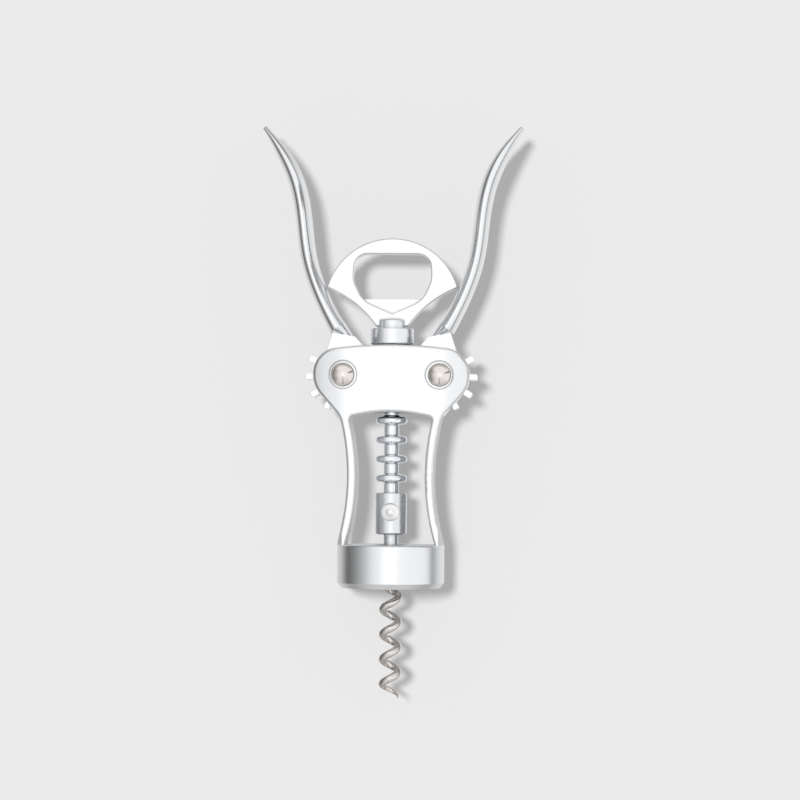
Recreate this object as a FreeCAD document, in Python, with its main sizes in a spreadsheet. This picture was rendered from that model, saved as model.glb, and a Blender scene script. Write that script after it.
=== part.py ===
import FreeCAD, Part
import math
import os

import Sketcher
from FreeCAD import Placement, Rotation, Vector

# Wing corkscrew, in millimetres. The worm's axis is Z with the handle on top, the front
# faces -Y, and the origin lies on the axis in the plane that a bottle's lip stops against.

driving_sizes = {
    # gears and rack
    "pivot_spacing": 30.0,
    "pivot_height": 56.0,
    "gear_teeth": 12,
    "ring_radius": 4.9,
    "pitch_depth": 1.3591559,
    "mesh_depth": 1.65,
    "root_gap": 1.0,
    "tooth_width": 1.9,
    "tooth_corner": 0.5,
    "tooth_count": 9,
    "first_tooth_angle": 153.0,
    "tooth_showing": 2.55,
    "ring_rim": 2.2,
    "ring_root": 2.7,
    "ring_edge": 0.9,
    "ring_fillet": 0.4,
    "ring_lead": 2.1,
    "ring_gap": 3.0,
    "rack_radius": 2.35,
    "running_clearance": 0.05,
    "side_clearance": 0.3,
    # frame; drops and rises are from the pivots' height
    "frame_depth": 15.0,
    "plate_thickness": 2.5,
    "shoulder_drop": 3.5,
    "shoulder_hollow": 7.7,
    "shoulder_round": 9.2,
    "crown_round": 7.9,
    "crown_side_rise": 7.2,
    "crown_rise": 9.4,
    "gear_pocket_gap": 0.85,
    "rack_bore_gap": 0.4,
    "rack_bore_lead": 0.8,
    "leg_inset": 6.05,
    "leg_width": 2.8,
    "leg_waist_share": 0.4375,
    "leg_spread": 2.4708,
    "leg_top_drop": 12.8,
    "window_side_drop": 13.2,
    "window_corner": 1.15,
    "window_arch_drop": 11.5,
    "edge_radius": 0.9,
    "recess_gap": 0.6,
    "recess_depth": 1.0,
    "recess_chamfer": 0.35,
    # bell
    "bell_radius": 16.7,
    "bell_wall": 1.7,
    "bell_depth": 10.2,
    "web_thickness": 3.2,
    "bell_rim_bevel": 1.3,
    "bell_rim_height": 1.6,
    "bell_edge_radius": 0.6,
    "guide_lip": 1.3,
    "guide_top": 1.8,
    "guide_recess": 0.2,
    # pivot rivets
    "shank_radius": 2.5,
    "pin_radius": 1.3,
    "pin_length": 6.0,
    "head_radius": 3.65,
    "head_rise": 2.3,
    "head_edge": 0.2,
    "head_knee": 0.9,
    # wings
    "paddle_depth": 15.0,
    # handle and collar; heights are from the frame's crown
    "blade_thickness": 5.0,
    "blade_bottom": 5.9,
    "blade_foot": 5.0,
    "blade_corner_height": 18.0,
    "blade_corner_reach": 20.4,
    "blade_top": 33.3,
    "blade_hollow_radius": 34.0,
    "blade_edge_radius": 0.5,
    "opener_top": 28.4,
    "opener_top_reach": 11.9,
    "opener_top_round": 4.1,
    "opener_side_height": 20.2,
    "opener_side_reach": 12.2,
    "opener_side_round": 8.0,
    "opener_hip_height": 13.9,
    "opener_hip_reach": 9.3,
    "opener_hip_round": 8.0,
    "opener_point_height": 9.8,
    "tongue_top": 14.4,
    "tongue_thickness": 2.0,
    "boss_wall": 2.35,
    "boss_top": 8.2,
    "boss_bottom": 0.4,
    "boss_round": 0.9,
    "boss_bore_top": 6.8,
    "collar_wall": 2.0,
    "collar_bottom": 0.3,
    "collar_top": 5.2,
    "collar_edge": 0.3,
    "collar_clearance": 0.08,
    "handle_pin_radius": 1.0,
    "handle_pin_height": 3.0,
    # worm socket; lengths are from its lower end, and the rivet's from its outside
    "socket_lift": 3.25,
    "socket_length": 12.95,
    "socket_edge": 0.4,
    "socket_bore_floor": 2.55,
    "neck_wall": 1.05,
    "neck_bottom": -4.5,
    "rivet_place": 6.95,
    "rivet_shank_radius": 1.3,
    "rivet_head_radius": 2.75,
    "rivet_seat_depth": 0.9,
    "rivet_edge_depth": 0.55,
    "rivet_step_depth": 0.15,
    "rivet_button_radius": 1.35,
    "rivet_button_rise": 0.25,
    # worm
    "wire_radius": 1.2,
    "helix_radius": 2.4,
    "helix_pitch": 7.75,
    "helix_start": -9.5,
    "helix_phase_height": -13.1,
    "worm_top": 3.0,
    "worm_bend": -5.2,
    "worm_point": -44.4,
    "point_radius": 0.15,
    "point_turns": 0.55,
}

document = FreeCAD.newDocument("wing_corkscrew")
sheet = document.addObject("Spreadsheet::Sheet", "Sizes")
for row, (alias, number) in enumerate(driving_sizes.items(), start=1):
    sheet.set("A%d" % row, alias.replace("_", " "))
    sheet.set("B%d" % row, str(number))
    sheet.setAlias("B%d" % row, alias)
document.recompute()


# A Size is a number with the sheet expression it comes from, so one formula gives both.
class Size:
    def __init__(self, value, text):
        self.value = value
        self.text = text

    def join(self, other, sign, value):
        other_text = other.text if isinstance(other, Size) else repr(other)
        return Size(value, "(%s %s %s)" % (self.text, sign, other_text))

    def __add__(self, other):
        return self.join(other, "+", self.value + number_of(other))

    def __sub__(self, other):
        return self.join(other, "-", self.value - number_of(other))

    def __mul__(self, other):
        return self.join(other, "*", self.value * number_of(other))

    def __truediv__(self, other):
        return self.join(other, "/", self.value / number_of(other))

    def __neg__(self):
        return Size(-self.value, "(-1 * %s)" % self.text)


def number_of(quantity):
    return quantity.value if isinstance(quantity, Size) else quantity


def size(alias):
    return Size(float(sheet.get(alias)), "Sizes." + alias)


def square_root(quantity):
    return Size(math.sqrt(quantity.value), "sqrt(%s)" % quantity.text)


def whole(quantity):
    return Size(math.floor(quantity.value), "floor(%s)" % quantity.text)


# radius of the arc that leaves a straight edge smoothly, across and along that edge
def tangent_radius(across, along):
    return (across * across + along * along) / (across * 2)


def bind(item, property_name, quantity):
    if isinstance(quantity, Size):
        item.setExpression(property_name, quantity.text)


zero = Size(0.0, "0")
pivot_reach = size("pivot_spacing") / 2
pivot_height = size("pivot_height")
crown_height = pivot_height + size("crown_rise")


def above_crown(alias):
    return crown_height + size(alias)


# The gears reach the rings whatever the spacing is, and the rings are spaced to suit the gears.
ring_radius = size("ring_radius")
gear_reach = pivot_reach - ring_radius
gear_tip_radius = gear_reach + size("mesh_depth")
gear_root_radius = gear_reach - size("root_gap")
ring_pitch = (gear_reach + size("pitch_depth")) * Size(2 * math.pi, "2 * pi") / size("gear_teeth")

rack_radius = size("rack_radius")
boss_radius = rack_radius + size("boss_wall")
socket_bottom = size("web_thickness") + size("socket_lift")
socket_top = socket_bottom + size("socket_length")
socket_bore_bottom = socket_bottom + size("socket_bore_floor")
rivet_height = socket_bottom + size("rivet_place")
hub_thickness = size("frame_depth") - size("plate_thickness") * 2 - size("side_clearance") * 2


def add_body(label):
    body = document.addObject("PartDesign::Body", label)
    body.Label = label
    return body


def origin_plane(body, role):
    for feature in body.Origin.OriginFeatures:
        if feature.Role == role:
            return feature
    raise ValueError(role)


def add_sketch(body, name, role="XZ_Plane", offset=None):
    sketch = body.newObject("Sketcher::SketchObject", name)
    sketch.AttachmentSupport = [(origin_plane(body, role), "")]
    sketch.MapMode = "FlatFace"
    if offset is not None:
        bind(sketch, "AttachmentOffset.Base.z", offset)
    return sketch


def pin_point(sketch, geometry, end, across, up):
    for kind, quantity in (("DistanceX", across), ("DistanceY", up)):
        constraint = Sketcher.Constraint(kind, geometry, end, quantity.value)
        index = sketch.addConstraint(constraint)
        bind(sketch, "Constraints[%d]" % index, quantity)


def add_circle(sketch, across, up, radius):
    center = Vector(across.value, up.value, 0)
    circle = sketch.addGeometry(Part.Circle(center, Vector(0, 0, 1), radius.value))
    pin_point(sketch, circle, 3, across, up)
    index = sketch.addConstraint(Sketcher.Constraint("Radius", circle, radius.value))
    bind(sketch, "Constraints[%d]" % index, radius)


# arc from start to end; a positive radius has its centre on the left of that way
def arc_between(start, end, radius):
    chord = end - start
    middle = (start + end) * 0.5
    left = Vector(-chord.y, chord.x, 0).normalize()
    reach = math.sqrt(radius * radius - chord.Length * chord.Length / 4)
    center = middle + left * math.copysign(reach, radius)
    first, last = (start, end) if radius > 0 else (end, start)
    angles = [math.atan2(point.y - center.y, point.x - center.x) for point in (first, last)]
    if angles[1] < angles[0]:
        angles[1] += 2 * math.pi
    circle = Part.Circle(center, Vector(0, 0, 1), abs(radius))
    return Part.ArcOfCircle(circle, angles[0], angles[1])


# closed outline; each corner is (across, up) or (across, up, radius of the edge that follows)
def add_outline(sketch, corners):
    edges = []
    for index, corner in enumerate(corners):
        following = corners[(index + 1) % len(corners)]
        start = Vector(corner[0].value, corner[1].value, 0)
        end = Vector(following[0].value, following[1].value, 0)
        if len(corner) == 2:
            edges.append((sketch.addGeometry(Part.LineSegment(start, end)), 1, 2))
            continue
        radius = corner[2]
        arc = sketch.addGeometry(arc_between(start, end, radius.value))
        edges.append((arc, 1, 2) if radius.value > 0 else (arc, 2, 1))
        constraint = Sketcher.Constraint("Radius", arc, abs(radius.value))
        index = sketch.addConstraint(constraint)
        bind(sketch, "Constraints[%d]" % index, radius if radius.value > 0 else -radius)
    for index, corner in enumerate(corners):
        geometry, first, last = edges[index]
        following = edges[(index + 1) % len(edges)]
        joint = Sketcher.Constraint("Coincident", geometry, last, following[0], following[1])
        sketch.addConstraint(joint)
        pin_point(sketch, geometry, first, corner[0], corner[1])


# the left half of an outline from its right half, given from the bottom to the top
def mirrored(corners):
    flipped = []
    for index in range(len(corners) - 1, -1, -1):
        corner = corners[index]
        edge = corners[index - 1][2:] if index > 0 else ()
        flipped.append((-corner[0], corner[1]) + tuple(edge))
    return flipped


def add_pad(body, sketch, length, midplane=True):
    pad = body.newObject("PartDesign::Pad", sketch.Label + "_pad")
    pad.Profile = sketch
    pad.Midplane = midplane
    bind(pad, "Length", length)
    document.recompute()
    return pad


def check_removed(body, feature, before):
    document.recompute()
    if feature.Shape.Volume > before - 0.01:
        raise RuntimeError(feature.Label + " cuts nothing")


def add_pocket(body, sketch, length, midplane=True, reverse=False):
    before = body.Shape.Volume
    pocket = body.newObject("PartDesign::Pocket", sketch.Label + "_pocket")
    pocket.Profile = sketch
    pocket.Midplane = midplane
    pocket.Reversed = reverse
    bind(pocket, "Length", length)
    check_removed(body, pocket, before)
    return pocket


def add_turn(body, sketch, cut=False):
    kind = "Groove" if cut else "Revolution"
    before = body.Shape.Volume if cut else 0
    turn = body.newObject("PartDesign::" + kind, sketch.Label + "_turn")
    turn.Profile = sketch
    turn.ReferenceAxis = (sketch, ["V_Axis"])
    turn.Angle = 360
    document.recompute()
    if cut:
        check_removed(body, turn, before)
    return turn


# edges of the body that a test on their vertices picks, as a fillet or a chamfer
def add_edge_break(body, kind, quantity, wanted):
    base = body.Tip
    names = []
    for index, edge in enumerate(base.Shape.Edges, start=1):
        if wanted(edge):
            names.append("Edge%d" % index)
    dressing = body.newObject("PartDesign::" + kind, body.Label + "_" + kind.lower())
    dressing.Base = (base, names)
    bind(dressing, "Radius" if kind == "Fillet" else "Size", quantity)
    document.recompute()
    if not names or dressing.Shape.isNull():
        raise RuntimeError(dressing.Label + " breaks no edge")
    return dressing


def lies_at_depth(edge, depth):
    flat = edge.BoundBox.YLength < 0.001
    return flat and abs(abs(edge.BoundBox.YMin) - depth) < 0.001


def turned_body(label, corners, role="XZ_Plane"):
    body = add_body(label)
    sketch = add_sketch(body, label + "_profile", role)
    add_outline(sketch, corners)
    add_turn(body, sketch)
    return body


# ---- frame: yoke plates, legs and bell in one casting

frame_half_depth = size("frame_depth") / 2
leg_waist = size("bell_radius") - size("leg_inset")
leg_waist_height = pivot_height * size("leg_waist_share")
leg_top = pivot_height - size("leg_top_drop")
leg_bow = tangent_radius(size("leg_spread"), leg_top - leg_waist_height)
shoulder_height = pivot_height - size("shoulder_drop")
crown_side_height = pivot_height + size("crown_side_rise")
window_side_height = pivot_height - size("window_side_drop")
window_arch_height = pivot_height - size("window_arch_drop")
rack_bore_radius = ring_radius + size("rack_bore_gap")


# how far out the bowed edge that is nearest the axis at the waist has come at a height
def bowed(waist, height):
    rise = height - leg_waist_height
    return waist + leg_bow - square_root(leg_bow * leg_bow - rise * rise)


def frame_silhouette(sketch):
    outer = leg_waist + size("leg_width")
    foot = size("web_thickness") / 2
    reach = pivot_reach + gear_tip_radius - size("tooth_showing")
    right = [
        (bowed(outer, foot), foot, -leg_bow),
        (bowed(outer, leg_top), leg_top),
        (reach, shoulder_height),
        (reach, crown_side_height),
    ]
    left = mirrored(right)
    right[-1] = right[-1] + (tangent_radius(crown_height - crown_side_height, reach),)
    add_outline(sketch, right + left)


def frame_window(sketch):
    bottom = size("web_thickness") - 1
    side = window_side_height
    across = bowed(leg_waist, side)
    right = [
        (bowed(leg_waist, bottom), bottom, -leg_bow),
        (across, side),
    ]
    left = mirrored(right)
    right[-1] = right[-1] + (tangent_radius(window_arch_height - side, across),)
    add_outline(sketch, right + left)


# a corner of the silhouette is the edge along Y at one height
def round_corners(body, height, radius):
    def is_corner(edge):
        box = edge.BoundBox
        upright = box.XLength < 0.001 and box.ZLength < 0.001
        return upright and abs(box.ZMin - height.value) < 0.001

    add_edge_break(body, "Fillet", radius, is_corner)


def cut_gear_slots(body):
    sketch = add_sketch(body, "gear_slots")
    for reach in (pivot_reach, -pivot_reach):
        add_circle(sketch, reach, pivot_height, gear_tip_radius + size("gear_pocket_gap"))
    add_pocket(body, sketch, size("frame_depth") - size("plate_thickness") * 2)


def cut_pivot_holes(body):
    sketch = add_sketch(body, "pivot_holes")
    for reach in (pivot_reach, -pivot_reach):
        add_circle(sketch, reach, pivot_height, size("shank_radius"))
    add_pocket(body, sketch, size("frame_depth") * 2)
    recess = size("head_radius") + size("recess_gap")
    for side, name in ((1, "front"), (-1, "back")):
        sketch = add_sketch(body, name + "_recesses", offset=frame_half_depth * side)
        for reach in (pivot_reach, -pivot_reach):
            add_circle(sketch, reach, pivot_height, recess)
        add_pocket(body, sketch, size("recess_depth"), midplane=False, reverse=side < 0)

    def is_recess_rim(edge):
        round_edge = isinstance(edge.Curve, Part.Circle)
        return round_edge and lies_at_depth(edge, frame_half_depth.value) and \
            abs(edge.Curve.Radius - recess.value) < 0.001

    add_edge_break(body, "Chamfer", size("recess_chamfer"), is_recess_rim)


# the bore widens at its mouth, so that the rings enter it freely
def cut_rack_bore(body):
    sketch = add_sketch(body, "rack_bore")
    bore = rack_bore_radius
    lead = size("rack_bore_lead")
    mouth = window_arch_height
    low = window_side_height - 2
    high = crown_height + 1
    add_outline(sketch, [
        (zero, low),
        (bore + lead, low),
        (bore + lead, mouth),
        (bore, mouth + lead),
        (bore, high),
        (zero, high),
    ])
    add_turn(body, sketch, cut=True)


# the legs' feet follow the round of the bell
def trim_feet(body):
    sketch = add_sketch(body, "foot_trim")
    inner = size("bell_radius")
    outer = inner * 2
    low = -size("bell_depth")
    high = leg_waist_height
    add_outline(sketch, [(inner, low), (outer, low), (outer, high), (inner, high)])
    add_turn(body, sketch, cut=True)


# the worm runs through the guide, and the guide sits in the web's hole
guide_bore_radius = size("helix_radius") + size("wire_radius") + size("side_clearance")
web_hole_radius = guide_bore_radius + size("guide_lip")
guide_radius = web_hole_radius + size("guide_lip")


def add_bell(body):
    sketch = add_sketch(body, "bell")
    rim = -size("bell_depth")
    top = size("web_thickness")
    edge = size("bell_edge_radius")
    outer = size("bell_radius")
    bore = outer - size("bell_wall")
    add_outline(sketch, [
        (guide_radius, zero),
        (bore, zero),
        (bore, rim),
        (outer - size("bell_rim_bevel"), rim),
        (outer, rim + size("bell_rim_height")),
        (outer, top - edge, edge),
        (outer - edge, top),
        (web_hole_radius, top),
        (web_hole_radius, size("guide_top")),
        (guide_radius, size("guide_top")),
    ])
    add_turn(body, sketch)
    sketch = add_sketch(body, "web_hole")
    low = -size("web_thickness")
    high = size("web_thickness") * 2
    hole = web_hole_radius
    add_outline(sketch, [(zero, low), (hole, low), (hole, high), (zero, high)])
    add_turn(body, sketch, cut=True)
    sketch = add_sketch(body, "guide_seat")
    seat = guide_radius
    ceiling = size("guide_top")
    add_outline(sketch, [(zero, low), (seat, low), (seat, ceiling), (zero, ceiling)])
    add_turn(body, sketch, cut=True)


def make_frame():
    body = add_body("frame")
    sketch = add_sketch(body, "silhouette")
    frame_silhouette(sketch)
    frame_window(sketch)
    add_pad(body, sketch, size("frame_depth"))

    round_corners(body, leg_top, size("shoulder_hollow"))
    round_corners(body, shoulder_height, size("shoulder_round"))
    round_corners(body, crown_side_height, size("crown_round"))
    round_corners(body, window_side_height, size("window_corner"))

    def is_face_edge(edge):
        above_web = edge.CenterOfMass.z > size("web_thickness").value
        return above_web and lies_at_depth(edge, frame_half_depth.value)

    add_edge_break(body, "Fillet", size("edge_radius"), is_face_edge)
    cut_gear_slots(body)
    cut_rack_bore(body)
    cut_pivot_holes(body)
    trim_feet(body)
    add_bell(body)
    return body


def make_worm_guide():
    bore = guide_bore_radius
    outer = guide_radius
    low = size("guide_recess")
    high = size("guide_top")
    return turned_body("worm_guide", [(bore, low), (outer, low), (outer, high), (bore, high)])


# ---- pivot rivets: hollow shank with the front head, and a rear cap pressed into it

recess_floor = frame_half_depth - size("recess_depth")


# Half outline of a head, from the top to its foot: a flat crown that runs into a round knee.
def head_corners():
    head = size("head_radius")
    knee = size("head_knee")
    rise = size("head_rise") - size("head_edge")
    foot = recess_floor + size("head_edge")
    inset = head - knee
    crown = (inset * inset + rise * rise - knee * knee) / ((rise - knee) * 2)
    share = crown / (crown - knee)
    drop = crown - (crown - rise) * share
    return [
        (zero, foot + rise, crown),
        (inset * share, foot + rise - drop, knee),
        (head, foot),
        (head, recess_floor),
    ]


# the same corners from the foot to the top
def flipped_head():
    corners = head_corners()
    flipped = []
    for index in range(len(corners) - 1, -1, -1):
        edge = corners[index - 1][2:] if index > 0 else ()
        flipped.append(corners[index][:2] + tuple(edge))
    return flipped


def make_pivot_rivet(label, side):
    shank = size("shank_radius")
    pin = size("pin_radius")
    bore_end = recess_floor - size("pin_length")
    front = []
    for corner in head_corners():
        front.append((corner[0], -corner[1]) + corner[2:])
    body = turned_body(label, front + [
        (shank, -recess_floor),
        (shank, recess_floor),
        (pin, recess_floor),
        (pin, bore_end),
        (zero, bore_end),
    ], "XY_Plane")
    place_at_pivot(body, side)
    return body


def make_pivot_cap(label, side):
    pin = size("pin_radius")
    pin_end = recess_floor - size("pin_length") + size("side_clearance")
    body = turned_body(label, [
        (zero, pin_end),
        (pin, pin_end),
        (pin, recess_floor),
    ] + flipped_head(), "XY_Plane")
    place_at_pivot(body, side)
    return body


def place_at_pivot(item, side):
    bind(item, "Placement.Base.x", pivot_reach * side)
    bind(item, "Placement.Base.z", pivot_height)
    document.recompute()


# ---- wings: gear sector, neck and paddle; the left one, with its pivot at the origin

# paddle stations: outward, up, thickness across the arm, depth along Y
paddle_stations = (
    (1.9, 14.6, 5.6, 0.94),
    (4.0, 18.0, 5.1, 0.98),
    (8.0, 26.4, 4.9, 1.02),
    (11.3, 37.0, 5.0, 1.10),
    (12.9, 49.0, 5.05, 1.18),
    (15.4, 60.8, 5.0, 1.16),
    (20.0, 70.0, 3.9, 0.96),
    (25.2, 77.2, 1.7, 0.55),
)
# where the paddle springs from the hub: outward, up, thickness across, share of the hub's depth
paddle_root = (0.2, 12.5, 6.6, 0.98)
paddle_root_lean = 0.2
section_points = 20
section_power = 0.92

# neck between the gear and the paddle: inward and up from the pivot
neck_corners = (
    (-6.5, 5.0),
    (7.4, 4.4),
    (6.2, 9.0),
    (3.6, 11.9),
    (-3.4, 13.4),
    (-3.6, 12.4),
    (-5.2, 7.6),
)


def superellipse(center, normal, thickness, depth):
    across = normal.cross(Vector(0, 1, 0)).normalize()
    points = []
    for index in range(section_points):
        turn = 2 * math.pi * index / section_points
        reach = math.copysign(abs(math.cos(turn)) ** section_power, math.cos(turn))
        width = math.copysign(abs(math.sin(turn)) ** section_power, math.sin(turn))
        points.append(center + across * (reach * thickness / 2) + Vector(0, width * depth / 2, 0))
    curve = Part.BSplineCurve()
    curve.interpolate(Points=points, PeriodicFlag=True)
    return Part.Wire(curve.toShape())


def paddle_shape():
    depth = size("paddle_depth").value
    spine = Part.BSplineCurve()
    spine.interpolate([Vector(-out, 0, up) for out, up, thick, share in paddle_stations])
    sections = []
    for out, up, thickness, share in paddle_stations:
        center = Vector(-out, 0, up)
        normal = spine.tangent(spine.parameter(center))[0]
        sections.append(superellipse(center, normal, thickness, depth * share))
    paddle = Part.makeLoft(sections, True, False)
    out, up, thickness, share = paddle_root
    normal = Vector(paddle_root_lean, 0, 1).normalize()
    root = superellipse(Vector(-out, 0, up), normal, thickness, hub_thickness.value * share)
    facet = Part.makeLoft([root, sections[0]], True, True)
    return paddle.fuse(facet).removeSplitter()


def make_wing_root():
    body = add_body("wing_root")
    sketch = add_sketch(body, "gear_disc")
    add_circle(sketch, zero, zero, gear_root_radius)
    add_pad(body, sketch, hub_thickness)

    tooth = add_sketch(body, "tooth")
    half = size("tooth_width") / 2
    inner = gear_root_radius - 1
    outer = gear_tip_radius
    corner = size("tooth_corner")
    add_outline(tooth, [
        (inner, -half),
        (outer - corner, -half, corner),
        (outer, corner - half),
        (outer, half - corner, corner),
        (outer - corner, half),
        (inner, half),
    ])
    first_tooth = size("first_tooth_angle")
    bind(tooth, "AttachmentOffset.Rotation.Angle", first_tooth)
    tooth.AttachmentOffset = Placement(Vector(), Rotation(Vector(0, 0, 1), first_tooth.value))
    pad = add_pad(body, tooth, hub_thickness)
    pattern = body.newObject("PartDesign::PolarPattern", "teeth")
    pattern.Originals = [pad]
    pattern.Axis = (sketch, ["N_Axis"])
    bind(pattern, "Occurrences", size("tooth_count"))
    turn = Size(360.0, "360") / size("gear_teeth") * (size("tooth_count") - 1)
    bind(pattern, "Angle", turn)
    body.Tip = pattern
    document.recompute()

    neck = add_sketch(body, "neck")
    add_outline(neck, [(Size(x, repr(x)), Size(y, repr(y))) for x, y in neck_corners])
    add_pad(body, neck, hub_thickness)

    hole = add_sketch(body, "pivot_bore")
    add_circle(hole, zero, zero, size("shank_radius") + size("running_clearance"))
    add_pocket(body, hole, hub_thickness * 2)
    return body


def make_wings():
    root = make_wing_root()
    paddle = document.addObject("Part::Feature", "wing_paddle")
    paddle.Shape = paddle_shape()
    left = document.addObject("Part::Fuse", "left_wing")
    left.Label = "left_wing"
    left.Base = root
    left.Tool = paddle
    left.Refine = True
    place_at_pivot(left, -1)
    right = document.addObject("Part::Mirroring", "right_wing")
    right.Label = "right_wing"
    right.Source = left
    right.Normal = Vector(1, 0, 0)
    document.recompute()
    return left, right


# ---- rack, collar and handle

# The rings have sloping sides, like the teeth of a rack, and as many fit as the shaft has room for.
def make_rack():
    body = add_body("rack")
    sketch = add_sketch(body, "shaft")
    radius = rack_radius
    low = socket_bore_bottom
    high = above_crown("boss_bore_top") - 0.1
    add_outline(sketch, [(zero, low), (radius, low), (radius, high), (zero, high)])
    add_turn(body, sketch)

    ring = add_sketch(body, "ring")
    center = pivot_height - size("ring_lead") + ring_pitch
    edge = size("ring_edge")
    fillet = size("ring_fillet")
    root = size("ring_root") / 2
    rim = size("ring_rim") / 2
    inner = radius - 0.5
    add_outline(ring, [
        (inner, center - root - fillet),
        (radius, center - root - fillet, -fillet),
        (radius + fillet, center - root),
        (ring_radius - edge, center - rim, edge),
        (ring_radius, center - rim + edge),
        (ring_radius, center + rim - edge, edge),
        (ring_radius - edge, center + rim),
        (radius + fillet, center + root, -fillet),
        (radius, center + root + fillet),
        (inner, center + root + fillet),
    ])
    turn = add_turn(body, ring)
    pattern = body.newObject("PartDesign::LinearPattern", "rings")
    pattern.Originals = [turn]
    pattern.Direction = (sketch, ["V_Axis"])
    pattern.Reversed = True
    spaces = whole((center - socket_top - size("ring_gap")) / ring_pitch)
    bind(pattern, "Occurrences", spaces + 1)
    bind(pattern, "Length", ring_pitch * spaces)
    body.Tip = pattern
    document.recompute()

    hole = add_sketch(body, "rivet_hole")
    add_circle(hole, zero, rivet_height, size("rivet_shank_radius"))
    add_pocket(body, hole, radius * 4)
    hole = add_sketch(body, "pin_hole", "YZ_Plane")
    add_circle(hole, zero, above_crown("handle_pin_height"), size("handle_pin_radius"))
    add_pocket(body, hole, radius * 4)
    return body


def make_collar():
    bore = boss_radius + size("collar_clearance")
    outer = boss_radius + size("collar_wall")
    low = above_crown("collar_bottom")
    high = above_crown("collar_top")
    edge = size("collar_edge")
    return turned_body("stop_collar", [
        (bore, low),
        (outer - edge, low),
        (outer, low + edge),
        (outer, high - edge, edge),
        (outer - edge, high),
        (bore, high),
    ])


# The handle is drawn from the height of the frame's crown, and then stands on it.
def blade_outline(sketch):
    corner = (size("blade_corner_reach"), size("blade_corner_height"))
    top_radius = tangent_radius(size("blade_top") - corner[1], corner[0])
    right = [
        (size("blade_foot"), size("blade_bottom"), -size("blade_hollow_radius")),
        corner,
    ]
    left = mirrored(right)
    right[-1] = right[-1] + (top_radius,)
    add_outline(sketch, right + left)


def opener_outline(sketch):
    point = (zero, size("opener_point_height"))
    right = [
        (size("opener_hip_reach"), size("opener_hip_height")),
        (size("opener_side_reach"), size("opener_side_height")),
        (size("opener_top_reach"), size("opener_top")),
    ]
    add_outline(sketch, [point] + right + mirrored(right))


def make_handle():
    body = add_body("opener_handle")
    sketch = add_sketch(body, "blade")
    blade_outline(sketch)
    opener_outline(sketch)
    add_pad(body, sketch, size("blade_thickness"))
    round_corners(body, size("opener_hip_height"), size("opener_hip_round"))
    round_corners(body, size("opener_side_height"), size("opener_side_round"))
    round_corners(body, size("opener_top"), size("opener_top_round"))
    half = size("blade_thickness").value / 2
    add_edge_break(body, "Fillet", size("blade_edge_radius"), lambda edge: lies_at_depth(edge, half))

    tongue = add_sketch(body, "tongue")
    top = size("tongue_top")
    low = size("opener_point_height") - 0.5
    wide = size("opener_hip_reach") + 2.5
    narrow = size("blade_foot")
    add_outline(tongue, [(-narrow, low), (narrow, low), (wide, top), (-wide, top)])
    add_pad(body, tongue, size("tongue_thickness"))

    boss = add_sketch(body, "boss")
    round_edge = size("boss_round")
    low = size("boss_bottom")
    peak = size("boss_top")
    add_outline(boss, [
        (zero, low),
        (boss_radius, low),
        (boss_radius, peak - round_edge, round_edge),
        (boss_radius - round_edge, peak),
        (zero, peak),
    ])
    add_turn(body, boss)

    bore = add_sketch(body, "rack_socket")
    inner = rack_radius
    low = low - 1
    high = size("boss_bore_top")
    add_outline(bore, [(zero, low), (inner, low), (inner, high), (zero, high)])
    add_turn(body, bore, cut=True)
    hole = add_sketch(body, "boss_pin_hole", "YZ_Plane")
    add_circle(hole, zero, size("handle_pin_height"), size("handle_pin_radius"))
    add_pocket(body, hole, boss_radius * 4)
    bind(body, "Placement.Base.z", crown_height)
    document.recompute()
    return body


def make_handle_pin():
    pin = document.addObject("Part::Cylinder", "handle_pin")
    pin.Label = "handle_pin"
    reach = boss_radius - 0.1
    bind(pin, "Radius", size("handle_pin_radius"))
    bind(pin, "Height", reach * 2)
    pin.Placement = Placement(Vector(), Rotation(Vector(0, 1, 0), 90))
    bind(pin, "Placement.Base.x", -reach)
    bind(pin, "Placement.Base.z", above_crown("handle_pin_height"))
    document.recompute()
    return pin


# ---- worm socket, its cross rivet and the worm

def make_worm_socket():
    radius = ring_radius
    top = socket_top
    bottom = socket_bottom
    edge = size("socket_edge")
    wire = size("wire_radius")
    neck = wire + size("neck_wall")
    shaft = rack_radius
    shaft_end = socket_bore_bottom
    wire_top = size("worm_top") + 0.1
    body = turned_body("worm_socket", [
        (wire, size("neck_bottom")),
        (neck, size("neck_bottom")),
        (neck, bottom),
        (radius - edge, bottom),
        (radius, bottom + edge),
        (radius, top - edge, edge),
        (radius - edge, top),
        (shaft, top),
        (shaft, shaft_end),
        (zero, shaft_end),
        (zero, wire_top),
        (wire, wire_top),
    ])
    hole = add_sketch(body, "socket_rivet_hole")
    add_circle(hole, zero, rivet_height, size("rivet_shank_radius"))
    add_pocket(body, hole, radius * 4)
    depth = size("rivet_seat_depth")
    for side, name in ((1, "front"), (-1, "back")):
        seat = add_sketch(body, name + "_rivet_seat", offset=radius * side)
        add_circle(seat, zero, rivet_height, size("rivet_head_radius"))
        add_pocket(body, seat, depth, midplane=False, reverse=side < 0)
    return body


def make_socket_rivet():
    shank = size("rivet_shank_radius")
    head = size("rivet_head_radius")
    seat = ring_radius - size("rivet_seat_depth")
    edge = ring_radius - size("rivet_edge_depth")
    step = ring_radius - size("rivet_step_depth")
    button = size("rivet_button_radius")
    top = ring_radius + size("rivet_button_rise")
    dome_radius = tangent_radius(top - step, button)
    body = turned_body("socket_rivet", [
        (zero, -top, dome_radius),
        (button, -step),
        (head, -edge),
        (head, -seat),
        (shank, -seat),
        (shank, seat),
        (head, seat),
        (head, edge),
        (button, step, dome_radius),
        (zero, top),
    ], "XY_Plane")
    bind(body, "Placement.Base.z", rivet_height)
    document.recompute()
    return body


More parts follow.
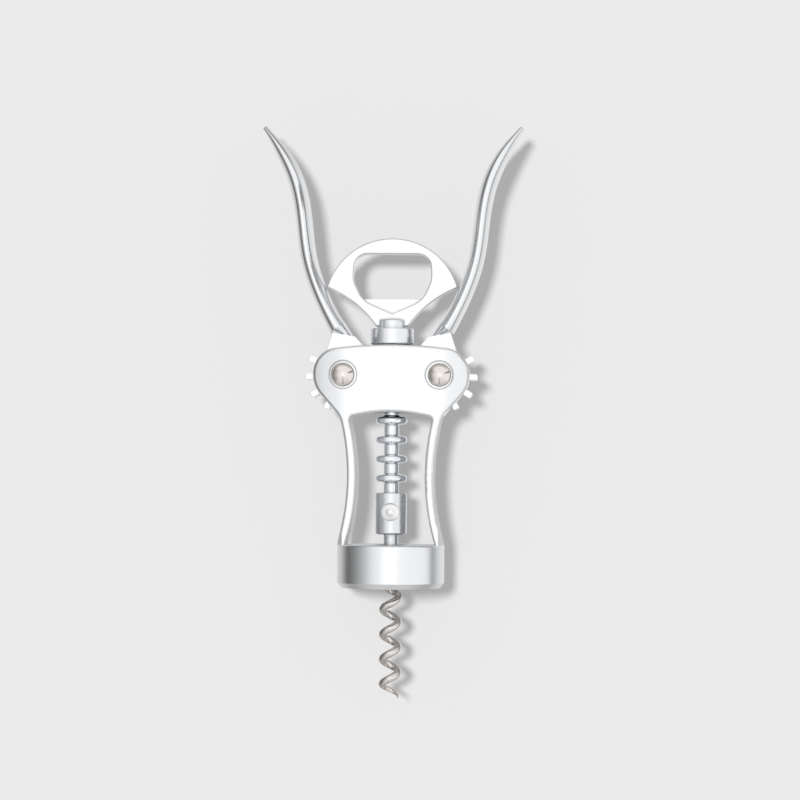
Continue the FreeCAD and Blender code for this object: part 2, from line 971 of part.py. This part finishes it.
def worm_axis_point(height):
    start = size("worm_bend").value
    full = size("helix_start").value
    share = min(1.0, max(0.0, (start - height) / (start - full)))
    radius = size("helix_radius").value * share * share * (3 - 2 * share)
    pitch = size("helix_pitch").value
    turn = 2 * math.pi * (height - size("helix_phase_height").value) / pitch
    return Vector(radius * math.cos(turn), radius * math.sin(turn), height)


def wire_section(spine, place, radius):
    return Part.Wire(Part.makeCircle(radius, spine.value(place), spine.tangent(place)[0]))


# the wire between two places on its centre line, with its radius at both ends
def wire_piece(spine, first, last, first_radius, last_radius):
    sections = [wire_section(spine, first, first_radius)]
    if last_radius != first_radius:
        sections.append(wire_section(spine, last, last_radius))
    path = Part.Wire(spine.toShape(first, last))
    return path.makePipeShell(sections, True, False)


def worm_shape():
    top = size("worm_top").value
    point = size("worm_point").value
    wire = size("wire_radius").value
    pitch = size("helix_pitch").value
    count = math.ceil((top - point) / pitch * 12)
    heights = [top + (point - top) * index / count for index in range(count + 1)]
    spine = Part.BSplineCurve()
    spine.interpolate([worm_axis_point(height) for height in heights])
    start = spine.FirstParameter
    end = spine.LastParameter
    taper = spine.parameter(worm_axis_point(point + pitch * size("point_turns").value))
    straight = wire_piece(spine, start, taper, wire, wire)
    tip = wire_piece(spine, taper, end, wire, size("point_radius").value)
    return straight.fuse(tip)


def make_worm():
    worm = document.addObject("Part::Feature", "worm")
    worm.Label = "worm"
    worm.Shape = worm_shape()
    return worm


pieces = [
    make_frame(),
    make_worm_guide(),
    make_pivot_rivet("left_pivot_rivet", -1),
    make_pivot_rivet("right_pivot_rivet", 1),
    make_pivot_cap("left_pivot_cap", -1),
    make_pivot_cap("right_pivot_cap", 1),
    *make_wings(),
    make_rack(),
    make_collar(),
    make_handle(),
    make_handle_pin(),
    make_worm_socket(),
    make_socket_rivet(),
    make_worm(),
]
document.recompute()

for item in document.Objects:
    if {"Invalid", "Error"} & set(item.State):
        raise RuntimeError("%s failed: %s" % (item.Label, item.State))
for piece in pieces:
    if piece.Shape.isNull() or not piece.Shape.isValid():
        raise RuntimeError(piece.Label + " has no valid shape")

os.makedirs("parts", exist_ok=True)
for piece in pieces:
    piece.Shape.exportStep("parts/%s.step" % piece.Label)
    box = piece.Shape.BoundBox
    print("%-18s solids %d  volume %8.1f  x %6.2f %6.2f  y %6.2f %6.2f  z %6.2f %6.2f" % (
        piece.Label, len(piece.Shape.Solids), piece.Shape.Volume,
        box.XMin, box.XMax, box.YMin, box.YMax, box.ZMin, box.ZMax))
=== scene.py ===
import math

import bpy
from mathutils import Matrix, Vector


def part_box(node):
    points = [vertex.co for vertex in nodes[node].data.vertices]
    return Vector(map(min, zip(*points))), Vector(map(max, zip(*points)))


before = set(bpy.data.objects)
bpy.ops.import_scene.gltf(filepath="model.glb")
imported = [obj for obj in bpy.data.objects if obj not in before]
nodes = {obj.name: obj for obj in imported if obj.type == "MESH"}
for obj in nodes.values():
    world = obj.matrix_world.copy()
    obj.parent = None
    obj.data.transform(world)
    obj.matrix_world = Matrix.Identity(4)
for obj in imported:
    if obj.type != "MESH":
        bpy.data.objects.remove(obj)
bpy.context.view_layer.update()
print("frame loaded:", len(nodes), "nodes")


# one shader socket; an operator on it adds a Math node to its tree
class Signal:
    def __init__(self, tree, socket):
        self.tree = tree
        self.socket = socket

    def join(self, operation, first, second):
        return addNode(self.tree, "ShaderNodeMath", {"operation": operation}, {0: first, 1: second})

    def __add__(self, other):
        return self.join("ADD", self, other)

    __radd__ = __add__

    def __sub__(self, other):
        return self.join("SUBTRACT", self, other)

    def __rsub__(self, other):
        return self.join("SUBTRACT", other, self)

    def __mul__(self, other):
        return self.join("MULTIPLY", self, other)

    __rmul__ = __mul__

    def __truediv__(self, other):
        return self.join("DIVIDE", self, other)

    def __rtruediv__(self, other):
        return self.join("DIVIDE", other, self)

    def __pow__(self, other):
        return self.join("POWER", self, other)

    def __rpow__(self, other):
        return self.join("POWER", other, self)


# any node: its settings go in first, then the values or links of its sockets
def addNode(tree, kind, settings=None, sockets=None, out=0):
    node = tree.nodes.new(kind)
    for name, value in (settings or {}).items():
        if name == "stops":
            setStops(node.color_ramp, value)
        else:
            setattr(node, name, value)
    for name, value in (sockets or {}).items():
        if isinstance(value, Signal):
            tree.links.new(value.socket, node.inputs[name])
        else:
            node.inputs[name].default_value = value
    return Signal(tree, node.outputs[out]) if len(node.outputs) else node


def setStops(ramp, stops):
    while len(ramp.elements) > 1:
        ramp.elements.remove(ramp.elements[-1])
    for index, (place, colour) in enumerate(stops):
        element = ramp.elements[0] if index == 0 else ramp.elements.new(place)
        element.position = place
        element.color = colour


def solid(colour):
    return (*colour, 1)


def grey(level):
    return (level, level, level, 1)


def newTree(owner):
    owner.use_nodes = True
    owner.node_tree.nodes.clear()
    return owner.node_tree


# 0 below the first level and 1 above the second
def risesBetween(value, low, high):
    return addNode(value.tree, "ShaderNodeMapRange", {"interpolation_type": "SMOOTHSTEP"}, {
        "Value": value, "From Min": low, "From Max": high})


def partOf(place, axis):
    return addNode(place.tree, "ShaderNodeSeparateXYZ", None, {"Vector": place}, out=axis)


# 1 above a height and 0 below it, with a soft edge of twice the blend
def aboveHeight(place, height, blend):
    return risesBetween(partOf(place, "Z"), height - blend, height + blend)


# the Mix node's sockets 0, 6 and 7 are its factor and two colours, and output 2 is a colour
def mixColours(share, first, second):
    return addNode(share.tree, "ShaderNodeMix", {"data_type": "RGBA", "clamp_factor": True}, {
        0: share, 6: first, 7: second}, out=2)


noiseRoughness = 0.55        # of every noise here


def noiseOf(place, scale, detail, stretch=None, turn=(0, 0, 0)):
    if stretch:
        place = addNode(place.tree, "ShaderNodeMapping", None, {
            "Vector": place, "Rotation": turn, "Scale": stretch})
    return addNode(place.tree, "ShaderNodeTexNoise", None, {
        "Vector": place, "Scale": scale, "Detail": detail, "Roughness": noiseRoughness})


# Every plated finish starts from the same things: softly broken edges, clouds in the polish,
# hair scratches two ways, a fine peel, and a dull film in the corners whose darker colour is painted
# shade.
plate = {
    "colour": (0.85, 0.86, 0.875),
    "roughness": 0.22,
    "edgeRound": 0.00028,
    "edgeSamples": 8,
    "cloudScale": 140,
    "cloudDepth": 0.10,
    # the film's colour, painted in deep corners as shade
    "filmAndShade": (0.62, 0.62, 0.63),
    "paintedShadeGain": 0.75,
    "cornerStart": 0.0,        # how deep in a corner the film and its painted shade start, and are full
    "cornerFull": 0.9,
    "filmRoughness": 0.25,
    "cornerReach": 0.0016,
    "cornerSamples": 6,
    "rubScale": 4,           # times finer than the clouds: the film and its painted shade are broken into patches
    "rubLeast": 0.55,
    "rubDepth": 0.9,
    "scratchScale": 55,
    "scratchRoughness": 0.10,
    "scratchHeight": 0.0000008,
    "peelScale": 900,
    "peelHeight": 0.0000012,
    "turnedScale": 60,
    "turnedStretch": (0.4, 0.4, 90),
    "turnedHeight": 0.0,     # of the fine lines round a turned piece
}

scratchWays = (
    {"stretch": (4, 4, 70), "turn": (0.2, 0.5, 0.1), "faint": 0.66, "full": 0.74},
    {"stretch": (60, 5, 5), "turn": (0.1, 0.3, 0.4), "faint": 0.67, "full": 0.75},
)


def hairScratches(place, scale):
    ways = []
    for way in scratchWays:
        grain = noiseOf(place, scale, detail=1.0, stretch=way["stretch"], turn=way["turn"])
        ways.append(risesBetween(grain, way["faint"], way["full"]))
    return addNode(place.tree, "ShaderNodeMath", {"operation": "MAXIMUM"}, dict(enumerate(ways)))


# A mask of how deep in a corner a place is: it paints shade there in the film's colour and makes the
# surface duller.
def cornerFilmAndShade(place, look):
    openness = addNode(place.tree, "ShaderNodeAmbientOcclusion", {"samples": look["cornerSamples"]}, {
        "Distance": look["cornerReach"]}, out="AO")
    deep = risesBetween(1 - openness, look["cornerStart"], look["cornerFull"])
    rubbed = noiseOf(place, look["cloudScale"] * look["rubScale"], detail=4.0)
    return deep * (look["rubLeast"] + look["rubDepth"] * rubbed)


# A piece may pass functions of the place: extraRoughness is added to the roughness, tint
# changes the colour, and swell is added to the height.
def finishMetal(name, changes, extraRoughness=None, tint=None, swell=None):
    look = {**plate, **changes}
    material = bpy.data.materials.new(name)
    tree = newTree(material)
    place = addNode(tree, "ShaderNodeTexCoord", out="Object")
    cloud = noiseOf(place, look["cloudScale"], detail=3.0)
    hairs = hairScratches(place, look["scratchScale"])
    filmAndShade = cornerFilmAndShade(place, look)
    # painted shade: the colour turns towards the film's colour in deep corners
    colour = mixColours(filmAndShade * look["paintedShadeGain"], solid(look["colour"]), solid(look["filmAndShade"]))
    if tint is not None:
        colour = tint(place, colour)
    roughness = look["roughness"] + (cloud - 0.5) * look["cloudDepth"]
    roughness = roughness + hairs * look["scratchRoughness"] + filmAndShade * look["filmRoughness"]
    if extraRoughness is not None:
        roughness = roughness + extraRoughness(place)
    peel = noiseOf(place, look["peelScale"], detail=3.0)
    height = peel * look["peelHeight"] - hairs * look["scratchHeight"]
    if look["turnedHeight"]:
        lines = noiseOf(place, look["turnedScale"], detail=4.0, stretch=look["turnedStretch"])
        height = height + lines * look["turnedHeight"]
    if swell is not None:
        height = height + swell(place)
    broken = addNode(tree, "ShaderNodeBevel", {"samples": look["edgeSamples"]}, {
        "Radius": look["edgeRound"]})
    bump = addNode(tree, "ShaderNodeBump", None, {
        "Strength": 1.0, "Distance": 1.0, "Height": height, "Normal": broken})
    shader = addNode(tree, "ShaderNodeBsdfPrincipled", None, {
        "Base Color": colour, "Metallic": 1.0, "Roughness": roughness, "Normal": bump})
    addNode(tree, "ShaderNodeOutputMaterial", None, {"Surface": shader})
    return material


def dressNode(name, material):
    nodes[name].material_slots[0].material = material


castFrame = {
    "roughness": 0.22,
    "edgeRound": 0.0001,
    "cloudDepth": 0.06,
    "paintedShadeGain": 0.18,
    "filmRoughness": 0.04,
    "turnedHeight": 0.0000012,
    "bellTop": 0.0032,
    "bellBlend": 0.0002,
    "bellRoughness": 0.04,
    "sideRoughness": 0.36,   # the sides aren't buffed as the faces are
    "sideStart": 0.08,       # how far a surface has turned from the front to be a side
    "sideFull": 0.45,
    "lobeStart": 0.0115,     # the yoke's face falls away from here outwards
    "lobeFall": 16.0,
    "boreRadius": 0.0056,    # the inside of the yoke's bore is painted near black as shade
    "boreBlend": 0.0003,
    "boreBottom": 0.0427,
    "boreBottomBlend": 0.0002,
    # colour of the painted shade inside the bore
    "boreShadeColour": (0.045, 0.045, 0.05),
}


def castRoughness(place):
    above = aboveHeight(place, castFrame["bellTop"], castFrame["bellBlend"])
    facing = partOf(addNode(place.tree, "ShaderNodeTexCoord", out="Normal"), "Y")
    side = risesBetween(1 - facing * facing, castFrame["sideStart"], castFrame["sideFull"])
    return (1 - above) * castFrame["bellRoughness"] + above * side * castFrame["sideRoughness"]


# Painted shade: the inside of the yoke's bore, above its bottom, is painted near black.
def paintedBoreShade(place, colour):
    x = partOf(place, "X")
    y = partOf(place, "Y")
    radius = (x * x + y * y) ** 0.5
    edge = castFrame["boreRadius"]
    inside = 1 - risesBetween(radius, edge, edge + castFrame["boreBlend"])
    above = aboveHeight(place, castFrame["boreBottom"], castFrame["boreBottomBlend"])
    return mixColours(inside * above, colour, solid(castFrame["boreShadeColour"]))


def fallingLobes(place):
    x = partOf(place, "X")
    reach = addNode(place.tree, "ShaderNodeMath", {"operation": "MAXIMUM"}, {
        0: (x * x) ** 0.5 - castFrame["lobeStart"], 1: 0.0})
    return reach * reach * -castFrame["lobeFall"]


dressNode("frame", finishMetal("satin chromed casting", castFrame, castRoughness, paintedBoreShade, fallingLobes))

lever = {
    "roughness": 0.14,
    "cloudScale": 90,
    "peelScale": 420,
    "peelHeight": 0.000003,
}
polishedLever = finishMetal("polished lever plate", lever)
dressNode("left_wing", polishedLever)
dressNode("right_wing", polishedLever)

handle = {
    "roughness": 0.22,
    "bossTop": 0.0738,       # the boss under the blade is left as cast
    "bossBlend": 0.0002,
    "bossRoughness": 0.06,
}


def bossRoughness(place):
    above = aboveHeight(place, handle["bossTop"], handle["bossBlend"])
    return (1 - above) * handle["bossRoughness"]


dressNode("opener_handle", finishMetal("chromed opener blade", handle, bossRoughness))

collar = {
    "colour": (0.85, 0.865, 0.89),
    "roughness": 0.24,
    "paintedShadeGain": 0.06,
    "turnedHeight": 0.0000008,
}
dressNode("stop_collar", finishMetal("bright turned collar", collar))

rackBar = {
    "colour": (0.83, 0.85, 0.88),
    "roughness": 0.07,
    "cloudDepth": 0.04,
    "filmAndShade": (0.07, 0.07, 0.08),      # painted shade, near black, where the rings meet the bar and in other deep corners
    "paintedShadeGain": 1.2,
    "cornerStart": 0.42,
    "cornerFull": 0.75,
    "cornerReach": 0.0028,
    "turnedHeight": 0.0000004,
}
dressNode("rack", finishMetal("chromed rack bar", rackBar))

wormSocket = {
    "colour": (0.78, 0.79, 0.80),
    "roughness": 0.24,
    "turnedHeight": 0.0000015,
}
dressNode("worm_socket", finishMetal("satin turned socket", wormSocket))

crossRivet = {"colour": (0.88, 0.875, 0.87), "roughness": 0.30}
dressNode("socket_rivet", finishMetal("bright cross rivet", crossRivet))

pivotRivet = {
    "colour": (0.80, 0.755, 0.71),
    "roughness": 0.10,
    "cloudScale": 420,
    "cloudDepth": 0.12,
    # painted shade, brownish, in the recess round the dome and other deep corners
    "filmAndShade": (0.40, 0.34, 0.30),
    "paintedShadeGain": 0.9,
    "peelHeight": 0.00001,
}
warmNickel = finishMetal("warm nickel rivet", pivotRivet)
for name in ("left_pivot_rivet", "right_pivot_rivet", "left_pivot_cap", "right_pivot_cap"):
    dressNode(name, warmNickel)

wormWire = {
    "colour": (0.74, 0.70, 0.675),
    "roughness": 0.07,
    "cloudScale": 500,
    # painted shade, brownish, in the troughs between the coils
    "filmAndShade": (0.36, 0.31, 0.28),
    "paintedShadeGain": 2.1,
    "peelHeight": 0.000012,
}
dressNode("worm", finishMetal("drawn nickel wire", wormWire))

pin = {"colour": (0.58, 0.58, 0.59), "roughness": 0.32}
dressNode("handle_pin", finishMetal("plain steel pin", pin))

guide = {
    "colour": (0.82, 0.83, 0.83),
    "roughness": 0.42,
    "flowColour": (0.74, 0.75, 0.76),        # faint clouds in the plastic
    "flowScale": 220,
    "flowRoughness": 0.12,
    "grainScale": 1800,
    "grainHeight": 0.000006,
    "lightInside": 0.15,
    "lightDepth": 0.002,
}


def mouldGuide():
    material = bpy.data.materials.new("moulded nylon guide")
    tree = newTree(material)
    place = addNode(tree, "ShaderNodeTexCoord", out="Object")
    grain = noiseOf(place, guide["grainScale"], detail=3.0)
    flow = noiseOf(place, guide["flowScale"], detail=2.0)
    colour = mixColours(flow, solid(guide["colour"]), solid(guide["flowColour"]))
    bump = addNode(tree, "ShaderNodeBump", None, {
        "Distance": 1.0, "Height": grain * guide["grainHeight"]})
    shader = addNode(tree, "ShaderNodeBsdfPrincipled", None, {
        "Base Color": colour, "Normal": bump,
        "Roughness": guide["roughness"] + flow * guide["flowRoughness"],
        "Subsurface Weight": guide["lightInside"], "Subsurface Scale": guide["lightDepth"]})
    addNode(tree, "ShaderNodeOutputMaterial", None, {"Surface": shader})
    return material


dressNode("worm_guide", mouldGuide())
print("finishes set")


studio = {
    "wallGap": 0.0006,       # from the frame's back to the wall, m
    "wallSize": 6.0,
    "wallShade": 0.748,      # colour of the wall
    "wallGlow": 0.249,       # light that reaches the wall from all round, past the tool
    "roomShade": 0.823,      # what the camera sees past the wall
    "fillLevel": 0.25,       # light that the room gives to paper and plastic
    "keyStrength": 1.702,
    "keyFrom": (-0.168, -1.0, 0.126),        # the way to the lamp
    "keySoftness": 8.5,      # degrees across
}

camera = {
    "place": (0.044, -0.888, 0.025667),      # m
    "left": 2.6729,          # degrees turned from straight ahead
    "up": 1.4619,
    "roll": 0.3914,
    "lens": 128.18,          # mm
    "sensor": 36,
    "nearest": 0.05,         # m
    "farthest": 50,
}


def placeCamera():
    data = bpy.data.cameras.new("camera")
    data.lens = camera["lens"]
    data.sensor_width = camera["sensor"]
    data.clip_start = camera["nearest"]
    data.clip_end = camera["farthest"]
    item = bpy.data.objects.new("camera", data)
    bpy.context.scene.collection.objects.link(item)
    turn = Matrix.Rotation(math.radians(camera["left"]), 4, "Z")
    tilt = Matrix.Rotation(math.radians(90 + camera["up"]), 4, "X")
    roll = Matrix.Rotation(math.radians(camera["roll"]), 4, "Z")
    item.matrix_world = Matrix.Translation(camera["place"]) @ turn @ tilt @ roll
    bpy.context.scene.camera = item


# The key makes the shadow on the wall; the metal sees the room's front as its light.
def hangKeyLamp():
    data = bpy.data.lights.new("key", "SUN")
    data.energy = studio["keyStrength"]
    data.angle = math.radians(studio["keySoftness"])
    item = bpy.data.objects.new("key", data)
    item.rotation_euler = Vector(studio["keyFrom"]).to_track_quat("Z", "Y").to_euler()
    item.visible_glossy = False
    bpy.context.scene.collection.objects.link(item)


# The wall is seen from its front only, so that the tool shows from behind too, and the metal
# sees the room's back in its place.
def hangWall():
    half = studio["wallSize"] / 2
    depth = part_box("frame")[1].y + studio["wallGap"]
    corners = [(-half, depth, -half), (half, depth, -half), (half, depth, half), (-half, depth, half)]
    mesh = bpy.data.meshes.new("wall")
    mesh.from_pydata(corners, [], [(0, 1, 2, 3)])
    wall = bpy.data.objects.new("wall", mesh)
    bpy.context.scene.collection.objects.link(wall)
    material = bpy.data.materials.new("pale paper wall")
    tree = newTree(material)
    eye = addNode(tree, "ShaderNodeLightPath", out="Is Camera Ray")
    behind = addNode(tree, "ShaderNodeNewGeometry", out="Backfacing")
    seen = eye * (1 - behind)
    paper = addNode(tree, "ShaderNodeBsdfDiffuse", None, {"Color": grey(studio["wallShade"])})
    glow = addNode(tree, "ShaderNodeEmission", None, {"Strength": studio["wallGlow"]})
    lit = addNode(tree, "ShaderNodeAddShader", None, {0: paper, 1: glow})
    clear = addNode(tree, "ShaderNodeBsdfTransparent")
    shader = addNode(tree, "ShaderNodeMixShader", None, {0: seen, 1: clear, 2: lit})
    addNode(tree, "ShaderNodeOutputMaterial", None, {"Surface": shader})
    mesh.materials.append(material)


# The room as the polished metal sees it, from the front (0 degrees) to the back on each of
# four sides: a bright front and a paler back, with a darker gap between them.
roomSides = {
    "left": (
        (0, 1.28), (12, 1.28), (22, 1.0), (38, 0.92), (52, 0.62), (68, 0.40), (84, 0.24),
        (96, 0.17), (104, 0.13), (114, 0.22), (124, 0.42), (136, 0.62), (156, 0.77), (180, 0.82),
    ),
    "right": (
        (0, 1.28), (12, 1.28), (22, 1.06), (60, 1.05), (80, 1.0), (92, 0.90), (106, 0.32),
        (118, 0.52), (130, 0.76), (152, 0.88), (180, 0.82),
    ),
    "up": (
        (0, 1.28), (12, 1.28), (22, 1.06), (66, 1.0), (80, 0.60), (92, 0.28), (102, 0.20), (114, 0.28),
        (136, 0.60), (180, 0.80),
    ),
    "down": (
        (0, 1.28), (12, 1.28), (22, 1.0), (52, 0.88), (78, 0.72), (92, 0.62), (106, 0.46),
        (122, 0.40), (142, 0.56), (180, 0.70),
    ),
}

# where one side of the room turns into the next, as a share of the way across
roomBlends = {
    "leftToRight": 0.35,
    "poleStart": 0.45,
    "poleFull": 0.9,
    "halfEdge": 0.1,         # a card in one half of the room fades in over this
    "leastAcross": 0.000001,  # keeps the way straight ahead from dividing by zero
}

# dark things in the room, in degrees from the front; polished domes show them small
roomCards = {
    "side": {
        "low": 0.22, "lowSoft": 0.05, "high": 0.40, "highSoft": 0.08,
        "near": 36, "nearSoft": 12, "far": 118, "farSoft": 6, "level": 0.3,
    },
    "foot": {
        "halfWidth": 0.07, "widthSoft": 0.05,
        "near": 9, "nearSoft": 4, "far": 74, "farSoft": 6, "level": 0.45,
    },
}


# 1 from the card's near end to its far end, seen from the middle of the room
def alongCard(turn, card):
    near = risesBetween(turn, math.radians(card["near"]), math.radians(card["near"] + card["nearSoft"]))
    far = risesBetween(turn, math.radians(card["far"]), math.radians(card["far"] + card["farSoft"]))
    return near * (1 - far)


def sideCard(x, rise, turn):
    card = roomCards["side"]
    low = risesBetween(rise, card["low"], card["low"] + card["lowSoft"])
    high = risesBetween(rise, card["high"], card["high"] + card["highSoft"])
    rightHalf = risesBetween(x, 0.0, roomBlends["halfEdge"])
    return low * (1 - high) * rightHalf * alongCard(turn, card)


def footCard(z, sideways, turn):
    card = roomCards["foot"]
    beyond = risesBetween(sideways, card["halfWidth"], card["halfWidth"] + card["widthSoft"])
    lowerHalf = risesBetween(z * -1, 0.0, roomBlends["halfEdge"])
    return (1 - beyond) * lowerHalf * alongCard(turn, card)


def roomColour(tree):
    way = addNode(tree, "ShaderNodeTexCoord", out="Generated")
    x = partOf(way, "X")
    z = partOf(way, "Z")
    across = (x * x + z * z + roomBlends["leastAcross"]) ** 0.5
    turn = addNode(tree, "ShaderNodeMath", {"operation": "ARCTAN2"}, {
        0: across, 1: partOf(way, "Y") * -1})
    side = {}
    for name, levels in roomSides.items():
        stops = [(angle / 180, grey(level)) for angle, level in levels]
        side[name] = addNode(tree, "ShaderNodeValToRGB", {"stops": stops}, {"Fac": turn / math.pi})
    rise = z / across
    middle = roomBlends["leftToRight"]
    start = roomBlends["poleStart"]
    full = roomBlends["poleFull"]
    colour = mixColours(risesBetween(x / across, -middle, middle), side["left"], side["right"])
    colour = mixColours(risesBetween(rise, start, full), colour, side["up"])
    colour = mixColours(risesBetween(rise * -1, start, full), colour, side["down"])
    colour = mixColours(sideCard(x, rise, turn), colour, grey(roomCards["side"]["level"]))
    sideways = (x * x) ** 0.5 / across
    return mixColours(footCard(z, sideways, turn), colour, grey(roomCards["foot"]["level"]))


# Metal sees the room, the camera sees a plain shade, and paper and plastic get a plain fill,
# as does metal that is itself seen by them.
def lightRoom():
    world = bpy.data.worlds.new("room")
    bpy.context.scene.world = world
    tree = newTree(world)
    glossy = addNode(tree, "ShaderNodeLightPath", out="Is Glossy Ray")
    fromPaper = addNode(tree, "ShaderNodeLightPath", out="Diffuse Depth")
    mirror = glossy * (1 - risesBetween(fromPaper, 0.0, 1.0))
    colour = mixColours(mirror, grey(studio["fillLevel"]), roomColour(tree))
    eye = addNode(tree, "ShaderNodeLightPath", out="Is Camera Ray")
    colour = mixColours(eye, colour, grey(studio["roomShade"]))
    light = addNode(tree, "ShaderNodeBackground", None, {"Color": colour, "Strength": 1.0})
    addNode(tree, "ShaderNodeOutputWorld", None, {"Surface": light})


placeCamera()
hangKeyLamp()
hangWall()
lightRoom()
bpy.context.scene.view_settings.view_transform = "Standard"
print("studio set")
